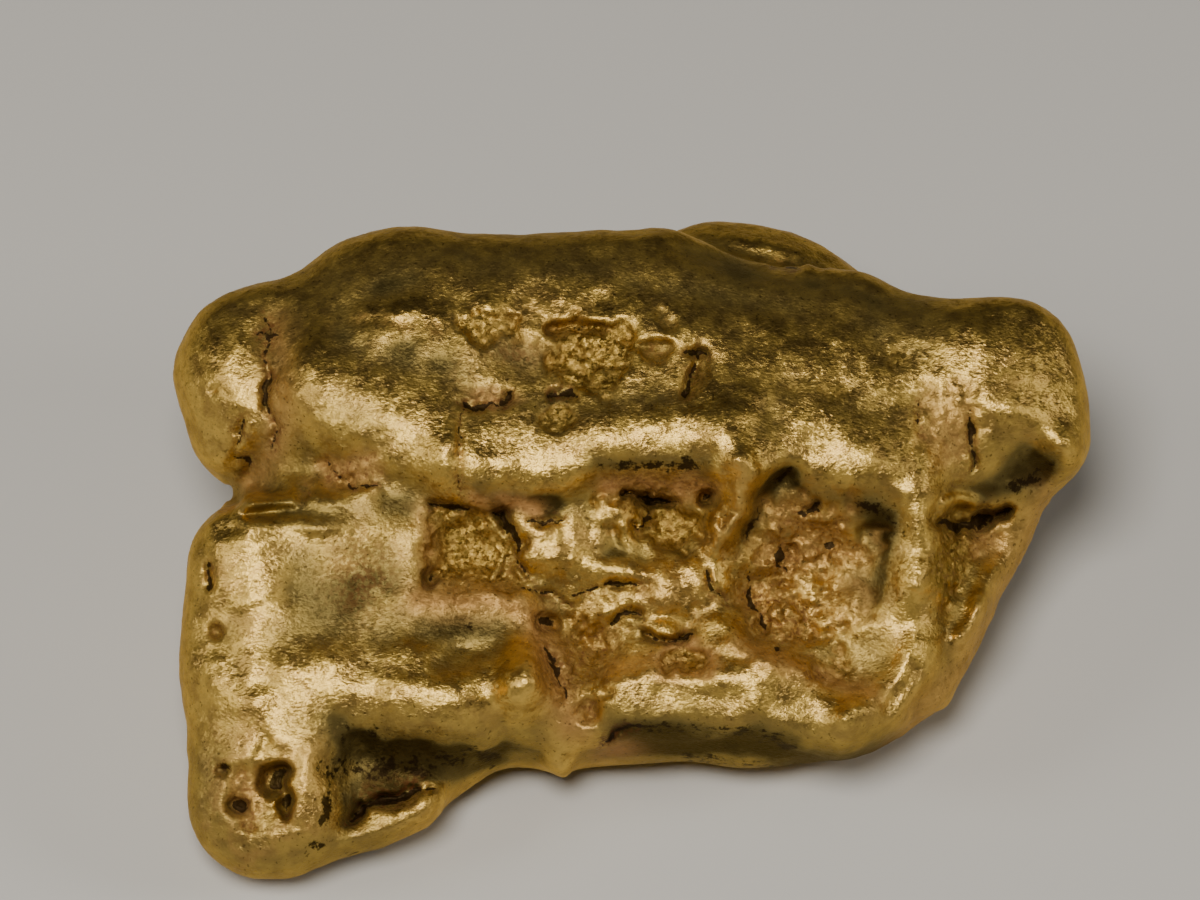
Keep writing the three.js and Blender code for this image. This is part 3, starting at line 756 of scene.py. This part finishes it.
# crystals and broken lips stand out in chips 0.2 mm across, and all of the skin is a little dented
chips = shards((px, py, pz), 0.2, 41)[0] - 0.5
push = 0.012 * mottle((px, py, pz), 0.33, 42) + 0.006 * mottle((px, py, pz), 0.15, 43)
push += (0.1 * finish_and_shade["fresh"] + 0.06 * finish_and_shade["lip"]) * chips
places = places + normals * push[:, None]
skin.vertices.foreach_set("co", (places * MM).astype(np.float32).ravel())
skin.update()

# ---- The gold ----------------------------------------------------------------------------------
# Native gold with a little silver, burnished by gravel: a pale satin yellow with a broken shine.
# Rust, grime and an olive film of river dirt are left where nothing rubs, and they dull it. The grime
# and film colours also paint shade on faces that turn away and in the lee of rims.
gold = bpy.data.materials.new("worn_native_gold")
gold.use_nodes = True
nodes, links = gold.node_tree.nodes, gold.node_tree.links
shader = nodes["Principled BSDF"]


def linear(hexa):
    """An sRGB hex colour as the linear values that a shader takes."""
    parts = [int(hexa[n : n + 2], 16) / 255 for n in (1, 3, 5)]
    return tuple(p / 12.92 if p <= 0.04045 else ((p + 0.055) / 1.055) ** 2.4 for p in parts) + (1.0,)


def node(kind, joined, out=0, **settings):
    """Adds a node with its settings, and joins or sets its inputs; gives back one of its outputs."""
    made = nodes.new("ShaderNode" + kind)
    for name, value in settings.items():
        setattr(made, name, value)
    for name, value in joined.items():
        if isinstance(value, bpy.types.NodeSocket):
            links.new(value, made.inputs[name])
        else:
            made.inputs[name].default_value = value
    return made.outputs[out]


# Object coordinates are in metres, so these bring them to millimetres. Wear runs along the nugget,
# so one set is drawn out along X.
place = node("TexCoord", {}, "Object")
mm = node("Mapping", {"Vector": place, "Scale": (1000, 1000, 1000)})
drawn = node("Mapping", {"Vector": place, "Scale": (720, 1000, 1000)})
newness, rusty, grime_and_shade_fac, lipped, film_and_shade_fac, proud = (
    node("Attribute", {}, "Fac", attribute_name=name) for name in finish_and_shade
)
# clouds of tarnish 1.6 mm across, rubbed patches 0.45 mm, specks 0.12 mm and pores 0.09 mm
clouds = node("TexNoise", {"Vector": mm, "Scale": 1 / 1.6, "Detail": 3.0, "Roughness": 0.6})
patches = node("TexNoise", {"Vector": mm, "Scale": 1 / 0.45, "Detail": 4.0, "Roughness": 0.65})
specks = node("TexNoise", {"Vector": mm, "Scale": 1 / 0.12, "Detail": 2.0, "Roughness": 0.6})
pores = node("TexNoise", {"Vector": mm, "Scale": 1 / 0.09, "Detail": 1.0, "Roughness": 0.4})

# A MapRange's inputs 1 and 2 are the range that comes in, and 3 and 4 the one that goes out. A
# Mix's inputs 6 and 7 are its two colours.
# Burnished gold, from rich to pale
share = node("MapRange", {"Value": patches, 1: 0.35, 2: 0.65}, interpolation_type="SMOOTHSTEP")
colour = node("Mix", {0: share, 6: linear("#B49350"), 7: linear("#DEBA60")}, 2, data_type="RGBA")
# under an olive film in the hollows and along the film strokes; where it is thickest it turns
# dark, and that dark is painted shade
low = node(
    "MapRange",
    {"Value": proud, 1: 0.06, 2: -0.06, 3: 0.0, 4: 0.55},
    interpolation_type="SMOOTHSTEP",
)
cover = node("Math", {0: film_and_shade_fac, 1: 0.75, 2: low}, operation="MULTIPLY_ADD")
cloudy = node(
    "MapRange",
    {"Value": clouds, 1: 0.25, 2: 0.6, 3: 0.6, 4: 1.1},
    interpolation_type="SMOOTHSTEP",
)
cover = node("Math", {0: cover, 1: cloudy}, operation="MULTIPLY")
dull = node("Clamp", {"Value": cover, "Max": 0.95})
colour = node("Mix", {0: dull, 6: colour, 7: linear("#74663A")}, 2, data_type="RGBA")
thick_film_and_shade = node(
    "MapRange",
    {"Value": cover, 1: 0.75, 2: 1.3, 3: 0.0, 4: 0.8},
    interpolation_type="SMOOTHSTEP",
)
colour = node("Mix", {0: thick_film_and_shade, 6: colour, 7: linear("#33270F")}, 2, data_type="RGBA")
# crystals are greener, in a dark and a light shade
share = node("MapRange", {"Value": specks, 1: 0.35, 2: 0.65}, interpolation_type="SMOOTHSTEP")
crystal = node("Mix", {0: share, 6: linear("#846A2E"), 7: linear("#BE9E52")}, 2, data_type="RGBA")
colour = node("Mix", {0: newness, 6: colour, 7: crystal}, 2, data_type="RGBA")
# worn lips and broken ground are a matt pinkish beige
share = node(
    "MapRange",
    {"Value": patches, 1: 0.3, 2: 0.6, 3: 0.45, 4: 0.95},
    interpolation_type="SMOOTHSTEP",
)
pinkish = node("Math", {0: lipped, 1: share}, operation="MULTIPLY")
colour = node("Mix", {0: pinkish, 6: colour, 7: linear("#B0844E")}, 2, data_type="RGBA")
# rust lies in the seams, and dark specks in the pores
share = node("MapRange", {"Value": specks, 1: 0.38, 2: 0.62}, interpolation_type="SMOOTHSTEP")
stain = node("Math", {0: rusty, 1: share}, operation="MULTIPLY")
colour = node("Mix", {0: stain, 6: colour, 7: linear("#5A2E14")}, 2, data_type="RGBA")
share = node(
    "MapRange",
    {"Value": pores, 1: 0.66, 2: 0.74, 3: 0.0, 4: 0.55},
    interpolation_type="SMOOTHSTEP",
)
colour = node("Mix", {0: share, 6: colour, 7: linear("#3A2A14")}, 2, data_type="RGBA")
# black grime and painted shade break up into patches and specks
dark_grime_and_shade = node("Math", {0: patches, 1: 0.9, 2: grime_and_shade_fac}, operation="MULTIPLY_ADD")
dark_grime_and_shade = node("Math", {0: specks, 1: 0.5, 2: dark_grime_and_shade}, operation="MULTIPLY_ADD")
dark_grime_and_shade = node(
    "MapRange",
    {"Value": dark_grime_and_shade, 1: 1.14, 2: 1.28, 3: 0.0, 4: 0.92},
    interpolation_type="SMOOTHSTEP",
)
colour = node("Mix", {0: dark_grime_and_shade, 6: colour, 7: linear("#221608")}, 2, data_type="RGBA")
links.new(colour, shader.inputs["Base Color"])

# Rust, film, grime and the beige lips hide the metal in part, and all but the grime roughen it.
# What isn't metal here is dirt, stain and painted shade, which have only a faint warm sheen.
metal = node("Math", {0: stain, 1: -0.6, 2: 1.0}, operation="MULTIPLY_ADD")
metal = node("Math", {0: dark_grime_and_shade, 1: -0.1, 2: metal}, operation="MULTIPLY_ADD")
metal = node("Math", {0: dull, 1: -0.15, 2: metal}, operation="MULTIPLY_ADD")
metal = node("Math", {0: pinkish, 1: -0.45, 2: metal}, operation="MULTIPLY_ADD", use_clamp=True)
links.new(metal, shader.inputs["Metallic"])
shader.inputs["Specular IOR Level"].default_value = 0.25
shader.inputs["Specular Tint"].default_value = linear("#EEDCB4")
rough = node(
    "MapRange",
    {"Value": patches, 1: 0.3, 2: 0.7, 3: 0.34, 4: 0.42},
    interpolation_type="SMOOTHSTEP",
)
rough = node("Math", {0: dull, 1: 0.14, 2: rough}, operation="MULTIPLY_ADD")
rough = node("Math", {0: pinkish, 1: 0.12, 2: rough}, operation="MULTIPLY_ADD")
rough = node("Math", {0: stain, 1: 0.2, 2: rough}, operation="MULTIPLY_ADD")
links.new(rough, shader.inputs["Roughness"])

# Peening has left the skin in minute flats that catch the light one by one. Real ones are about
# 0.02 mm across; they are drawn at 0.06 to 0.19 mm so that they show. Crystals lean most.
tilted = node("NewGeometry", {}, "Normal")
leaning = node("Math", {0: newness, 1: 0.55, 2: 0.08}, operation="MULTIPLY_ADD")
leaning = node("Math", {0: lipped, 1: 0.25, 2: leaning}, operation="MULTIPLY_ADD")
for where, size, lean in ((drawn, 0.06, 0.18), (mm, 0.19, 0.12), (mm, 0.11, leaning)):
    flat = node("TexVoronoi", {"Vector": where, "Scale": 1 / size}, "Color")
    flat = node("VectorMath", {0: flat, 1: (0.5, 0.5, 0.5)}, operation="SUBTRACT")
    flat = node("VectorMath", {0: flat, "Scale": lean}, operation="SCALE")
    tilted = node("VectorMath", {0: tilted, 1: flat}, operation="ADD")
tilted = node("VectorMath", {0: tilted}, operation="NORMALIZE")
grain = node("TexNoise", {"Vector": drawn, "Scale": 1 / 0.07, "Detail": 3.0, "Roughness": 0.6})
bumped = node("Bump", {"Height": grain, "Normal": tilted, "Strength": 0.7, "Distance": 0.00003})
links.new(bumped, shader.inputs["Normal"])

skin.materials.clear()
skin.materials.append(gold)
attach(nugget, "root")
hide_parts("nugget")

# ---- Floor, lights and camera ------------------------------------------------------------------
# The nugget lies on a sheet of pale paper, larger than the view. A big soft box stands behind the
# camera and a weaker one at each side, and the camera looks straight down on the leaning face.
bpy.ops.mesh.primitive_plane_add(size=1.2, location=(0, 0, 0))
floor = bpy.context.object
floor.name = "floor"
paper = bpy.data.materials.new("floor_paper")
paper.use_nodes = True
matt = paper.node_tree.nodes["Principled BSDF"]
matt.inputs["Base Color"].default_value = linear("#CBCAC7")
matt.inputs["Roughness"].default_value = 0.9
floor.data.materials.append(paper)

world = bpy.data.worlds.new("studio")
bpy.context.scene.world = world
world.use_nodes = True
world.node_tree.nodes["Background"].inputs["Color"].default_value = linear("#FFFDF9")
world.node_tree.nodes["Background"].inputs["Strength"].default_value = 0.03


def lamp(name, at, size, watts, colour="#FFF9EF"):
    """A round soft box at a place in the face's frame, aimed at the face; sizes in millimetres."""
    light = bpy.data.lights.new(name, "AREA")
    light.shape = "DISK"
    light.size = size * MM
    light.energy = watts
    light.color = linear(colour)[:3]
    holder = bpy.data.objects.new(name, light)
    bpy.context.scene.collection.objects.link(holder)
    at = face @ Vector(at)
    turn = (FACE_AT - at).to_track_quat("-Z", "Y").to_matrix().to_4x4()
    holder.matrix_world = Matrix.Translation(at * MM) @ turn


lamp("key", at=(-20, 38, 150), size=60, watts=0.21)
lamp("left", at=(-120, 30, 80), size=60, watts=0.05)
lamp("right", at=(130, 30, 70), size=50, watts=0.047)

lens = bpy.data.cameras.new("camera")
lens.sensor_width = 36
lens.lens = 200
lens.clip_start = 0.005
camera = bpy.data.objects.new("camera", lens)
bpy.context.scene.collection.objects.link(camera)
CAMERA_AT = (-0.66, 2.31, 146.7)  # in the face's frame, in millimetres
stand = face @ Matrix.Translation(CAMERA_AT)
stand.translation *= MM
camera.matrix_world = stand
bpy.context.scene.camera = camera
